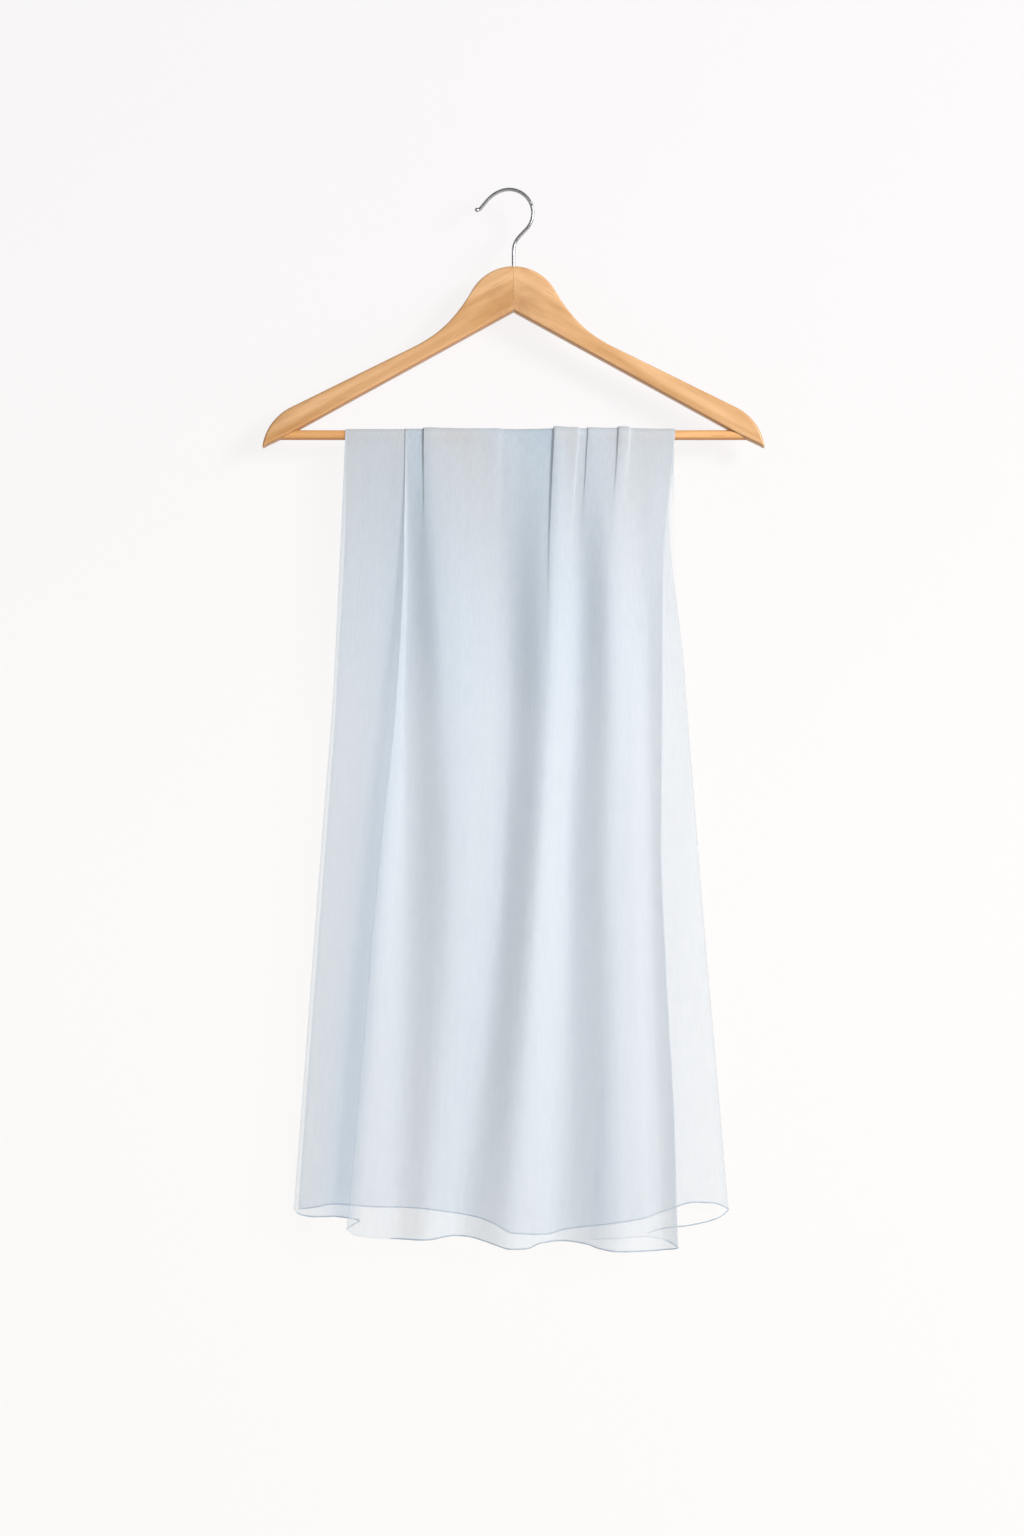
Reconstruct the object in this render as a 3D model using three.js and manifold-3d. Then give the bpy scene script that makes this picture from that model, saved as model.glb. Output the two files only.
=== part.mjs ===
// A wooden clothes hanger with a swivel hook and a trouser bar, and a sheer gown length draped over the bar.
// Millimetres. +Z is up, +X is to the right and -Y is to the front. The origin is the saddle: the point on
// the swivel's axis where the inside of the hook's bow rests on its rail.
import * as THREE from "three";
import { mergeVertices } from "three/addons/utils/BufferGeometryUtils.js";
import Module from "manifold-3d";

// ---------------------------------------------------------------- driving dimensions

// Every piece that lies against or inside another keeps this gap to it: a glue line or a sliding fit.
const GAP = 0.3;

// Wooden body: two shoulders that meet at a seam on X = 0.
const HALF_WIDTH = 222; // seam to shoulder tip
const WOOD_THICKNESS = 12;
const EDGE_ROUND = 3; // rounding of the front and back edges
const CROWN_DROP = 66.8; // saddle down to the top of the crown
const CROWN_RADIUS = 42.3;
const CROWN_ANGLE = 60; // degrees of crown arc on each side of the seam
const CROWN_HEIGHT = 39.8; // crown down to the notch under it
const NECK_X = 90; // where the neck has run out into the straight shoulder
const NECK_FALL = 72.1; // crown down to the shoulder's top line there
const TOP_SLOPE = 26.2; // degrees, shoulder's top line
const UNDER_SLOPE = 28.8; // degrees, shoulder's under side
const HEEL_LENGTH = 22; // flatter last stretch of the under side, up to the tip
const HEEL_SLOPE = 25.3; // degrees
const TIP_RUN = 25; // length over which the top line rounds down into the tip
const TIP_STEPS = 4;

// Trouser bar: a round rod glued into a blind bore in each shoulder, with a brad through each end.
const BAR_DIAMETER = 8.8;
const BAR_END_INSET = 10; // shoulder tip to the end of the bar
const BAR_LEDGE = 2.1; // wood left under the bar at its end
const BRAD_DIAMETER = 1.4;
const BRAD_LENGTH = 9;
const BRAD_INSET = 5; // end of the bar to the brad
const BRAD_SUNK = 0.4; // brad head below the wood's back face

// Dowels that line up the two shoulders across the seam.
const DOWEL_DIAMETER = 5;
const DOWEL_LENGTH = 24;

// Hook: one bent wire with a ball at its tip and an upset head at its foot, which turns in the crown.
const WIRE_DIAMETER = 3.2;
const BOW_RADIUS = 20.9; // to the middle of the wire
const BOW_SHIFT = -3.8; // centre of the bow from the shank's axis
const BOW_OPEN = 46; // degrees from straight down, on the right, where the bow meets the straight
const BOW_CLOSE = 150; // degrees from there over the top, where the bow eases out to the tip
const NECK_BEND = 13.5; // height above the crown where the shank bends
const NECK_BEND_RUN = 8; // length of that bend
const TIP_REACH = 22.8; // from the end of the bow to the ball, sideways
const TIP_FALL = 17.3; // and down
const BALL_DIAMETER = 4.2;
const SHANK_DEPTH = 18; // crown down to the shoulder that the washer bears on
const FOOT_DIAMETER = 5.6;
const FOOT_LENGTH = 2.2;
const WASHER_DIAMETER = 7;
const WASHER_THICKNESS = 1;

// Gown: one sheer length laid over the bar. Both falls widen and ripple towards their hems. Each drop is
// from the bar's axis down to the hem, at that edge.
const CLOTH_THICKNESS = 1; // at the hems
const PLEAT_STACK = 2.1; // at the bar, where the pleats lie on each other
const GOWN_LEFT = -149; // edges on the bar
const GOWN_RIGHT = 144;
const FALLS = {
  front: { side: -1, left: -194, right: 146, leftDrop: 693, rightDrop: 718, belly: 9, ripple: 6, pitch: 118, phase: 0.6 },
  back: { side: 1, left: -190, right: 193, leftDrop: 686, rightDrop: 690, belly: 7, ripple: 5, pitch: 132, phase: 2.4 },
};
const HEM_WAVE = 3.5; // rise and fall of a hem along its length
const HEM_DIAMETER = 2; // rolled hem

// ---------------------------------------------------------------- worked out from them

const rad = THREE.MathUtils.degToRad;
const crownTop = -CROWN_DROP;
const crownCentre = crownTop - CROWN_RADIUS;
const apex = crownTop - CROWN_HEIGHT;
const heelX = HALF_WIDTH - HEEL_LENGTH;
const underEdge = (x) => apex - Math.tan(rad(UNDER_SLOPE)) * Math.min(x, heelX);
const heelEdge = (x) => underEdge(x) - Math.tan(rad(HEEL_SLOPE)) * Math.max(x - heelX, 0);
const topEdge = (x) => crownTop - NECK_FALL - Math.tan(rad(TOP_SLOPE)) * (x - NECK_X);

const barEnd = HALF_WIDTH - BAR_END_INSET;
const barRadius = BAR_DIAMETER / 2;
const barZ = heelEdge(barEnd) + BAR_LEDGE + barRadius;
const wireRadius = WIRE_DIAMETER / 2;
const bowZ = -Math.sqrt((BOW_RADIUS - wireRadius) ** 2 - BOW_SHIFT ** 2);
const shoulderZ = crownTop - SHANK_DEPTH; // roof of the hook's socket
const footTop = shoulderZ - GAP - WASHER_THICKNESS - GAP;
const socketDepth = WASHER_THICKNESS + FOOT_LENGTH + 3 * GAP;
const clothMiddle = barRadius + GAP + PLEAT_STACK / 2; // radius over the bar

// ---------------------------------------------------------------- solids

const wasm = await Module();
wasm.setup();

// A closed geometry as a manifold-3d solid.
function toSolid(geometry) {
  const bare = geometry.index ? geometry.toNonIndexed() : geometry.clone();
  bare.deleteAttribute("normal");
  bare.deleteAttribute("uv");
  const merged = mergeVertices(bare, 1e-4);
  return new wasm.Manifold(
    new wasm.Mesh({
      numProp: 3,
      vertProperties: new Float32Array(merged.attributes.position.array),
      triVerts: new Uint32Array(merged.index.array),
    }),
  );
}

// A manifold-3d solid back as a geometry.
function toGeometry(solid) {
  const mesh = solid.getMesh();
  const geometry = new THREE.BufferGeometry();
  geometry.setAttribute("position", new THREE.BufferAttribute(new Float32Array(mesh.vertProperties), 3));
  geometry.setIndex(new THREE.BufferAttribute(new Uint32Array(mesh.triVerts), 1));
  return geometry;
}

// A round rod between two heights or sides, along X, Y or Z.
function rod(radius, from, to, axis, at, sides = 24) {
  const geometry = new THREE.CylinderGeometry(radius, radius, Math.abs(to - from), sides);
  if (axis === "x") geometry.rotateZ(Math.PI / 2);
  if (axis === "z") geometry.rotateX(Math.PI / 2);
  const middle = new THREE.Vector3(...at);
  middle[axis] = (from + to) / 2;
  return geometry.translate(middle.x, middle.y, middle.z);
}

// A tube of round section along points, closed at both ends.
function tube(points, radius, sides, steps) {
  const section = new THREE.Shape(new THREE.Path().absarc(0, 0, radius, 0, 2 * Math.PI).getPoints(sides));
  const extrudePath = new THREE.CatmullRomCurve3(points, false, "centripetal");
  return new THREE.ExtrudeGeometry(section, { steps, extrudePath });
}

const piece = (name, geometry, material) => {
  const mesh = new THREE.Mesh(geometry, material);
  mesh.name = name;
  return mesh;
};

// ---------------------------------------------------------------- materials

const paleWood = new THREE.MeshStandardMaterial({ color: 0xe3b27a, roughness: 0.45, metalness: 0 });
const barWood = new THREE.MeshStandardMaterial({ color: 0xeab066, roughness: 0.4, metalness: 0 });
const chrome = new THREE.MeshStandardMaterial({ color: 0xc9cacc, roughness: 0.18, metalness: 1 });
const steel = new THREE.MeshStandardMaterial({ color: 0xa9abad, roughness: 0.4, metalness: 1 });
const sheerBlue = new THREE.MeshStandardMaterial({ color: 0xd3dde6, roughness: 0.8, metalness: 0 });
const hemBlue = new THREE.MeshStandardMaterial({ color: 0xb4c2cf, roughness: 0.8, metalness: 0 });

// ---------------------------------------------------------------- wooden shoulders

// One shoulder's outline from the seam to the tip and back, in X and Z, mirrored for the left side.
function bodyOutline() {
  const half = new THREE.Path();
  const turn = rad(CROWN_ANGLE);
  const neckStart = [CROWN_RADIUS * Math.sin(turn), crownCentre + CROWN_RADIUS * Math.cos(turn)];
  const along = [Math.cos(rad(TOP_SLOPE)), -Math.sin(rad(TOP_SLOPE))];
  const tipStart = HALF_WIDTH - TIP_RUN;
  const tip = [HALF_WIDTH, heelEdge(HALF_WIDTH)];
  half.absarc(0, crownCentre, CROWN_RADIUS, Math.PI / 2, Math.PI / 2 - turn, true);
  half.bezierCurveTo(
    neckStart[0] + 36 * Math.cos(turn),
    neckStart[1] - 36 * Math.sin(turn),
    NECK_X - 20 * along[0],
    topEdge(NECK_X) - 20 * along[1],
    NECK_X,
    topEdge(NECK_X),
  );
  half.lineTo(tipStart, topEdge(tipStart));
  // The tip is cut into few steps: an edge's rounding needs steps longer than itself beside a sharp corner.
  const tipCurve = new THREE.CubicBezierCurve(
    new THREE.Vector2(tipStart, topEdge(tipStart)),
    new THREE.Vector2(tipStart + 14 * along[0], topEdge(tipStart) + 14 * along[1]),
    new THREE.Vector2(tip[0] - 1.3, tip[1] + 16),
    new THREE.Vector2(...tip),
  );
  const heel = new THREE.Vector2(heelX, underEdge(heelX));
  const right = [...half.getPoints(14), ...tipCurve.getPoints(TIP_STEPS).slice(1), heel];
  const left = right
    .slice(1)
    .reverse()
    .map((p) => new THREE.Vector2(-p.x, p.y));
  return new THREE.Shape([...right, new THREE.Vector2(0, apex), ...left]);
}

function bodyBlank() {
  const flat = WOOD_THICKNESS - 2 * EDGE_ROUND;
  const blank = new THREE.ExtrudeGeometry(bodyOutline(), {
    depth: flat,
    bevelThickness: EDGE_ROUND,
    bevelSize: EDGE_ROUND,
    bevelOffset: -EDGE_ROUND,
    bevelSegments: 4,
  });
  return blank.translate(0, 0, -flat / 2).rotateX(Math.PI / 2);
}

// The two dowels share the wood between the hook's socket and the notch evenly.
const dowelBore = DOWEL_DIAMETER / 2 + GAP;
const socketFloor = shoulderZ - socketDepth;
const dowelWall = (socketFloor - apex - 4 * dowelBore) / 3;
const dowelHeights = {
  lower: apex + dowelWall + dowelBore,
  upper: socketFloor - dowelWall - dowelBore,
};

// Everything that is drilled out of the wood, as one list of cutters.
function woodCuts() {
  const cuts = [
    rod(wireRadius + GAP, shoulderZ - 1, crownTop + 5, "z", [0, 0, 0]),
    rod(WASHER_DIAMETER / 2 + GAP, socketFloor, shoulderZ, "z", [0, 0, 0]),
  ];
  const reach = DOWEL_LENGTH / 2 + GAP;
  for (const z of Object.values(dowelHeights)) {
    cuts.push(rod(dowelBore, -reach, reach, "x", [0, 0, z]));
  }
  cuts.push(rod(barRadius + GAP, -barEnd - GAP, barEnd + GAP, "x", [0, 0, barZ], 32));
  for (const side of [-1, 1]) cuts.push(bradCut(side));
  return cuts;
}

const bradX = barEnd - BRAD_INSET;
const bradBack = WOOD_THICKNESS / 2 - BRAD_SUNK;
const bradFront = bradBack - BRAD_LENGTH;

function bradCut(side) {
  return rod(BRAD_DIAMETER / 2 + GAP, bradFront - GAP, WOOD_THICKNESS, "y", [side * bradX, 0, barZ], 12);
}

function shoulders() {
  let body = toSolid(bodyBlank());
  for (const cut of woodCuts()) body = body.subtract(toSolid(cut));
  return [
    ["left_shoulder", -1],
    ["right_shoulder", 1],
  ].map(([name, side]) => {
    const keep = new THREE.BoxGeometry(2 * HALF_WIDTH, 4 * WOOD_THICKNESS, 4 * HALF_WIDTH);
    keep.translate(side * (HALF_WIDTH + GAP / 2), 0, apex);
    return piece(name, toGeometry(body.intersect(toSolid(keep))), paleWood);
  });
}

function seamDowels() {
  return Object.entries(dowelHeights).map(([name, z]) =>
    piece(
      `${name}_seam_dowel`,
      rod(DOWEL_DIAMETER / 2, -DOWEL_LENGTH / 2, DOWEL_LENGTH / 2, "x", [0, 0, z], 16),
      barWood,
    ),
  );
}

// ---------------------------------------------------------------- trouser bar and its brads

function trouserBar() {
  let bar = toSolid(rod(barRadius, -barEnd, barEnd, "x", [0, 0, barZ], 32));
  for (const side of [-1, 1]) bar = bar.subtract(toSolid(bradCut(side)));
  return piece("trouser_bar", toGeometry(bar), barWood);
}

function brads() {
  return [
    ["left_brad", -1],
    ["right_brad", 1],
  ].map(([name, side]) =>
    piece(name, rod(BRAD_DIAMETER / 2, bradFront, bradBack, "y", [side * bradX, 0, barZ], 10), steel),
  );
}

// ---------------------------------------------------------------- hook and washer

// The wire's centre line in X and Z, from the foot up over the bow to the ball.
function hookLine() {
  const line = new THREE.Path();
  const start = -Math.PI / 2 + rad(BOW_OPEN);
  const end = start + rad(BOW_CLOSE);
  const at = (angle, away) => [
    BOW_SHIFT + BOW_RADIUS * Math.cos(angle) - away * Math.sin(angle),
    bowZ + BOW_RADIUS * Math.sin(angle) + away * Math.cos(angle),
  ];
  const bend = crownTop + NECK_BEND;
  const bowStart = at(start, 0);
  const straightEnd = at(start, -4);
  const tip = [at(end, 0)[0] - TIP_REACH, at(end, 0)[1] - TIP_FALL];
  line.moveTo(0, footTop);
  line.lineTo(0, bend);
  line.bezierCurveTo(0, bend + NECK_BEND_RUN, ...at(start, -4 - NECK_BEND_RUN), ...straightEnd);
  line.lineTo(...bowStart);
  line.absarc(BOW_SHIFT, bowZ, BOW_RADIUS, start, end, false);
  line.bezierCurveTo(...at(end, 15), tip[0] + 4.4, tip[1] - 1.2, ...tip);
  return line;
}

function hook() {
  const line = hookLine();
  const points = line.getSpacedPoints(48).map((p) => new THREE.Vector3(p.x, 0, p.y));
  const ball = new THREE.SphereGeometry(BALL_DIAMETER / 2, 14, 10);
  const tip = points[points.length - 1];
  ball.translate(tip.x, tip.y, tip.z);
  const foot = rod(FOOT_DIAMETER / 2, footTop - FOOT_LENGTH, footTop, "z", [0, 0, 0], 20);
  const root = rod(wireRadius, footTop - FOOT_LENGTH / 2, footTop + 1, "z", [0, 0, 0], 12);
  const solid = [ball, foot, root].reduce(
    (sum, part) => sum.add(toSolid(part)),
    toSolid(tube(points, wireRadius, 12, 64)),
  );
  return piece("hook", toGeometry(solid), chrome);
}

function hookWasher() {
  const inner = wireRadius + GAP;
  const outer = WASHER_DIAMETER / 2;
  const top = shoulderZ - GAP;
  const low = top - WASHER_THICKNESS;
  const corners = [
    [inner, low],
    [outer, low],
    [outer, top],
    [inner, top],
    [inner, low],
  ];
  const profile = corners.map(([r, z]) => new THREE.Vector2(r, z));
  return piece("hook_washer", new THREE.LatheGeometry(profile, 24).rotateX(Math.PI / 2), steel);
}

// ---------------------------------------------------------------- gown

const FALL_ROWS = 12;
const TURN_STEPS = 8;
const GOWN_COLUMNS = 28;

// A plain fall is this long; draped() then brings each of its hems to its own height.
const PLAIN_FALL = 700;

// How far down a plain fall a height is: 0 at the bar and 1 at the hem.
const share = (z) => THREE.MathUtils.clamp((barZ - z) / PLAIN_FALL, 0, 1);

// Where a point of the cloth lies once the fall has widened, bellied out and rippled.
// across runs from 0 at the left edge to 1 at the right one; y and z are those of the plain fall.
function draped(across, y, z) {
  const fall = y < 0 ? FALLS.front : FALLS.back;
  const down = share(z);
  const left = THREE.MathUtils.lerp(GOWN_LEFT, fall.left, down);
  const right = THREE.MathUtils.lerp(GOWN_RIGHT, fall.right, down);
  const x = THREE.MathUtils.lerp(left, right, across);
  const wave = Math.sin((2 * Math.PI * x) / fall.pitch + fall.phase);
  const away = fall.side * down * (fall.belly + fall.ripple * wave);
  const rise = HEM_WAVE * Math.cos((2 * Math.PI * x) / fall.pitch + fall.phase);
  const length = THREE.MathUtils.lerp(fall.leftDrop, fall.rightDrop, across) - rise;
  return new THREE.Vector3(x, y + away, z + down * (PLAIN_FALL - length));
}

// The cloth thins from the stacked pleats at the bar to the single layer at the hem.
// face is 1 for its outer face and -1 for its inner one.
const clothRadius = (face, down) =>
  clothMiddle + (face * THREE.MathUtils.lerp(PLEAT_STACK, CLOTH_THICKNESS, down)) / 2;

// Side view of one face of a plain fall, from just under the bar down to the hem.
function fallLine(fall, face) {
  const points = [];
  for (let i = 0; i <= FALL_ROWS; i += 1) {
    const down = i / FALL_ROWS;
    const z = barZ - GAP - down * (PLAIN_FALL - GAP);
    points.push(new THREE.Vector2(fall.side * clothRadius(face, down), z));
  }
  return points;
}

// Side view of one face of the turn over the bar.
function turnLine(face) {
  const points = [];
  for (let i = 0; i <= TURN_STEPS; i += 1) {
    const angle = (Math.PI * i) / TURN_STEPS;
    const radius = clothRadius(face, 0);
    points.push(new THREE.Vector2(radius * Math.cos(angle), barZ + radius * Math.sin(angle)));
  }
  return points;
}

// The gown is one cloth. It is built as two falls and the turn between them, so that the space between
// the falls stays open to whatever passes through it.
function gownPart(name, outer, inner) {
  const cloth = new THREE.ExtrudeGeometry(new THREE.Shape([...outer, ...inner.reverse()]), {
    depth: 1,
    steps: GOWN_COLUMNS,
    bevelEnabled: false,
  });
  const position = cloth.attributes.position;
  for (let i = 0; i < position.count; i += 1) {
    // The profile's X and Y are the gown's Y and Z, and the extrusion runs across it.
    const spot = draped(position.getZ(i), position.getX(i), position.getY(i));
    position.setXYZ(i, spot.x, spot.y, spot.z);
  }
  return piece(name, cloth, sheerBlue);
}

function hem(name, fall) {
  const points = [];
  for (let i = 0; i <= GOWN_COLUMNS; i += 1) {
    const spot = draped(i / GOWN_COLUMNS, fall.side * clothMiddle, barZ - PLAIN_FALL);
    spot.z -= GAP + HEM_DIAMETER / 2;
    points.push(spot);
  }
  return piece(name, tube(points, HEM_DIAMETER / 2, 6, GOWN_COLUMNS), hemBlue);
}

// ---------------------------------------------------------------- assembly

const hanger = new THREE.Group();
hanger.add(...shoulders(), ...seamDowels(), trouserBar(), ...brads(), hookWasher());

const gown = new THREE.Group();
gown.add(gownPart("gown_turn", turnLine(1), turnLine(-1)));
for (const [name, fall] of Object.entries(FALLS)) {
  gown.add(gownPart(`gown_${name}_fall`, fallLine(fall, 1), fallLine(fall, -1)));
  gown.add(hem(`${name}_hem`, fall));
}

const object = new THREE.Group();
object.add(hook(), hanger, gown);

export default object;
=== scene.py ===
"""A wooden clothes hanger with a swivel hook, and a sheer gown length draped over its trouser bar.

Lengths in this file are in millimetres, as in the part's source, and become metres when a mesh is made.
"""

import math
from bisect import bisect_right
from functools import lru_cache

import bmesh
import bpy
from mathutils import Matrix, Vector, noise


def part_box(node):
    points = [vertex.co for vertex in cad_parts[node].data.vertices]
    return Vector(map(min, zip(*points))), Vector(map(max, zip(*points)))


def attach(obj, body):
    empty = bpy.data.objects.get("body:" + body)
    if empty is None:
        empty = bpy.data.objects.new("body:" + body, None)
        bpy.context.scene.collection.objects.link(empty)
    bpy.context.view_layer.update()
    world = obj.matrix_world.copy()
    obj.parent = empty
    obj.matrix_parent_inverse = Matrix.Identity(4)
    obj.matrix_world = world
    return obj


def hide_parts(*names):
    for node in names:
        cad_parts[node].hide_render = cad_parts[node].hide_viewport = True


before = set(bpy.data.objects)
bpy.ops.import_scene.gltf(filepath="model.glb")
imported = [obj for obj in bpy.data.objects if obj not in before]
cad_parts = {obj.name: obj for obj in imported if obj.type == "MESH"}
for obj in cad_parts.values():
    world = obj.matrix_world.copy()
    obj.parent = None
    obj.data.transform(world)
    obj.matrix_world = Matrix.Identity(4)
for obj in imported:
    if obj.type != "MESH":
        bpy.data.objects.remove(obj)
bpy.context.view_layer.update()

MM = 0.001
scene = bpy.context.scene


# ---------------------------------------------------------------- sizes from the frame


def box_mm(node):
    low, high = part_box(node)
    return low / MM, high / MM


bar_low, bar_high = box_mm("trouser_bar")
wood_low, wood_high = box_mm("right_shoulder")
washer_low, washer_high = box_mm("hook_washer")
dowel_low, dowel_high = box_mm("upper_seam_dowel")
brad_low, brad_high = box_mm("right_brad")

BAR_Z = (bar_low.z + bar_high.z) / 2
BAR_RADIUS = (bar_high.z - bar_low.z) / 2
BAR_END = bar_high.x
HALF_WIDTH = wood_high.x
WOOD_HALF = wood_high.y
CROWN_TOP = wood_high.z

# ---------------------------------------------------------------- sizes shared with the part's source

EDGE_ROUND = 3
CROWN_RADIUS = 42.3
CROWN_ANGLE = math.radians(60)
CROWN_HEIGHT = 39.8
NECK_X = 90
NECK_FALL = 72.1
TOP_SLOPE = math.radians(26.2)
UNDER_SLOPE = math.radians(28.8)
HEEL_LENGTH = 22
HEEL_SLOPE = math.radians(25.3)
TIP_RUN = 25

WIRE_RADIUS = 1.6
BOW_RADIUS = 20.9
BOW_SHIFT = -3.8
BOW_OPEN = math.radians(46)
BOW_CLOSE = math.radians(150)
NECK_BEND = 13.5
NECK_BEND_RUN = 8
TIP_REACH = 22.8
TIP_FALL = 17.3
BALL_RADIUS = 2.1

# ---------------------------------------------------------------- camera

CAMERA_DISTANCE = 1890
CAMERA_X = -1.3
CAMERA_Z = -510.6

camera_data = bpy.data.cameras.new("camera")
camera_data.lens = 50
camera_data.sensor_width = 36
camera = bpy.data.objects.new("camera", camera_data)
camera.location = Vector((CAMERA_X, -CAMERA_DISTANCE, CAMERA_Z)) * MM
camera.rotation_euler = (math.pi / 2, 0, 0)
scene.collection.objects.link(camera)
scene.camera = camera


# ---------------------------------------------------------------- curves


def curve_through(*keys):
    """A smooth function through (position, value) keys that never overshoots them."""
    places = [key[0] for key in keys]
    values = [key[1] for key in keys]
    last = len(keys) - 1
    rises = [(values[i + 1] - values[i]) / (places[i + 1] - places[i]) for i in range(last)]
    slopes = [0.0] * (last + 1)
    slopes[0], slopes[last] = rises[0], rises[-1]
    for i in range(1, last):
        before, after = rises[i - 1], rises[i]
        slopes[i] = 2 * before * after / (before + after) if before * after > 0 else 0.0

    @lru_cache(maxsize=4096)
    def at(place):
        place = min(max(place, places[0]), places[last])
        i = min(bisect_right(places, place) - 1, last - 1)
        step = places[i + 1] - places[i]
        s = (place - places[i]) / step
        start, end = values[i], values[i + 1]
        return (
            start * (1 + 2 * s) * (1 - s) ** 2
            + end * s * s * (3 - 2 * s)
            + slopes[i] * step * s * (1 - s) ** 2
            - slopes[i + 1] * step * s * s * (1 - s)
        )

    return at


def down_fall(*values):
    """A smooth function down a fall, from 0 at the bar to 1 at the hem, through evenly spaced values."""
    return curve_through(*((i / (len(values) - 1), value) for i, value in enumerate(values)))


def bezier(start, handle_a, handle_b, end, steps):
    """Points of a Bezier curve, without its first one."""
    points = []
    for i in range(1, steps + 1):
        t = i / steps
        weights = ((1 - t) ** 3, 3 * t * (1 - t) ** 2, 3 * t * t * (1 - t), t**3)
        corners = (start, handle_a, handle_b, end)
        points.append(sum((w * Vector(c) for w, c in zip(weights, corners)), Vector((0, 0))))
    return points


def arc(centre, radius, start, end, steps):
    """Points of an arc, its first one included."""
    angles = (start + (end - start) * i / steps for i in range(steps + 1))
    return [Vector((centre[0] + radius * math.cos(a), centre[1] + radius * math.sin(a))) for a in angles]


def along(points):
    """A function from 0 to 1 to the point at that share of a polyline's length."""
    lengths = [0.0]
    for before, after in zip(points, points[1:]):
        lengths.append(lengths[-1] + (after - before).length)

    def at(share):
        reach = min(max(share, 0), 1) * lengths[-1]
        i = min(bisect_right(lengths, reach) - 1, len(points) - 2)
        step = lengths[i + 1] - lengths[i]
        return points[i].lerp(points[i + 1], (reach - lengths[i]) / step if step else 0)

    return at


def smoothstep(low, high, value):
    s = min(max((value - low) / (high - low), 0), 1)
    return s * s * (3 - 2 * s)


# ---------------------------------------------------------------- making pieces


def skin(name, across_steps, along_steps, shape, closed=False, tidy=True, marks=None):
    """A sheet laid as a grid and moved into shape: shape(a, b) gives a point in millimetres.

    closed joins its two long edges into a tube and fills the open ends. marks(a, b) gives the values of the
    attributes at a point, for the material: the painted fold shade, light and shade painted on the folds, and the
    cover.
    """
    bm = bmesh.new()
    uv_layer = bm.loops.layers.uv.new("UVMap")
    if marks:
        layers = [bm.verts.layers.float.new(label) for label in ("painted_fold_shade", "cover")]
    bmesh.ops.create_grid(bm, x_segments=across_steps, y_segments=along_steps, size=1)
    for face in bm.faces:
        for loop in face.loops:
            loop[uv_layer].uv = (loop.vert.co.x / 2 + 0.5, loop.vert.co.y / 2 + 0.5)
    for vert in bm.verts:
        a, b = vert.co.x / 2 + 0.5, vert.co.y / 2 + 0.5
        vert.co = Vector(shape(a, b)) * MM
        if marks:
            for layer, value in zip(layers, marks(a, b)):
                vert[layer] = value
    if closed:
        bmesh.ops.remove_doubles(bm, verts=bm.verts, dist=1e-7)
        open_edges = [edge for edge in bm.edges if edge.is_boundary]
        bmesh.ops.holes_fill(bm, edges=open_edges, sides=0)
    if tidy:
        bmesh.ops.recalc_face_normals(bm, faces=bm.faces)
    for face in bm.faces:
        face.smooth = True
    return finished(name, bm)


def finished(name, bm):
    mesh = bpy.data.meshes.new(name)
    bm.to_mesh(mesh)
    bm.free()
    piece = bpy.data.objects.new(name, mesh)
    scene.collection.objects.link(piece)
    return piece


def wire(name, points, radius_at, sides, steps):
    """A round wire along points in space. radius_at gives its radius at a share of its length."""
    at = along(points)

    def shape(a, b):
        centre = at(b)
        ahead = (at(b + 0.002) - at(b - 0.002)).normalized()
        side = ahead.cross(Vector((0, 1, 0))).normalized()
        out = ahead.cross(side)
        angle = 2 * math.pi * a
        return centre + radius_at(b) * (side * math.cos(angle) + out * math.sin(angle))

    return skin(name, sides, steps, shape, closed=True)


def upright(points):
    """Points of the XZ plane in space."""
    return [Vector((p.x, 0, p.y)) for p in points]


def carve(piece, cutters):
    """Cuts round bores, each (radius, from, to), out of a piece."""
    bm = bmesh.new()
    for radius, start, end in cutters:
        start, end = Vector(start) * MM, Vector(end) * MM
        turn = (end - start).to_track_quat("Z", "Y").to_matrix().to_4x4()
        bmesh.ops.create_cone(
            bm,
            cap_ends=True,
            segments=40,
            radius1=radius * MM,
            radius2=radius * MM,
            depth=(end - start).length,
            matrix=Matrix.Translation((start + end) / 2) @ turn,
        )
    cutter = finished(piece.name + "_bores", bm)
    boolean = piece.modifiers.new("bores", "BOOLEAN")
    boolean.operation = "DIFFERENCE"
    boolean.solver = "EXACT"
    boolean.use_self = True
    boolean.object = cutter
    shaped = piece.evaluated_get(bpy.context.evaluated_depsgraph_get())
    carved = bpy.data.meshes.new_from_object(shaped)
    piece.modifiers.clear()
    piece.data = carved
    bpy.data.objects.remove(cutter)
    carved.set_sharp_from_angle(angle=math.radians(35))


# ---------------------------------------------------------------- materials


def new_group(name, inputs, outputs):
    """A shader node group with its named inputs, each (name, kind, default), and outputs, each (name, kind)."""
    group = bpy.data.node_groups.new(name, "ShaderNodeTree")
    for label, kind, default in inputs:
        socket = group.interface.new_socket(label, in_out="INPUT", socket_type="NodeSocket" + kind)
        if default is not None:
            socket.default_value = default
    for label, kind in outputs:
        group.interface.new_socket(label, in_out="OUTPUT", socket_type="NodeSocket" + kind)
    return group, group.nodes.new("NodeGroupInput"), group.nodes.new("NodeGroupOutput")


def feed(tree, node, sources):
    """Each source, a socket or a plain value, goes to the node's input of that name or number."""
    for key, source in sources.items():
        if isinstance(source, bpy.types.NodeSocket):
            tree.links.new(source, node.inputs[key])
        else:
            node.inputs[key].default_value = source
    return node


def add(tree, kind, sources=None, **settings):
    """A node with settings by attribute and sources for its inputs."""
    node = tree.nodes.new("ShaderNode" + kind)
    for attribute, value in settings.items():
        setattr(node, attribute, value)
    return feed(tree, node, sources or {})


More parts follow.
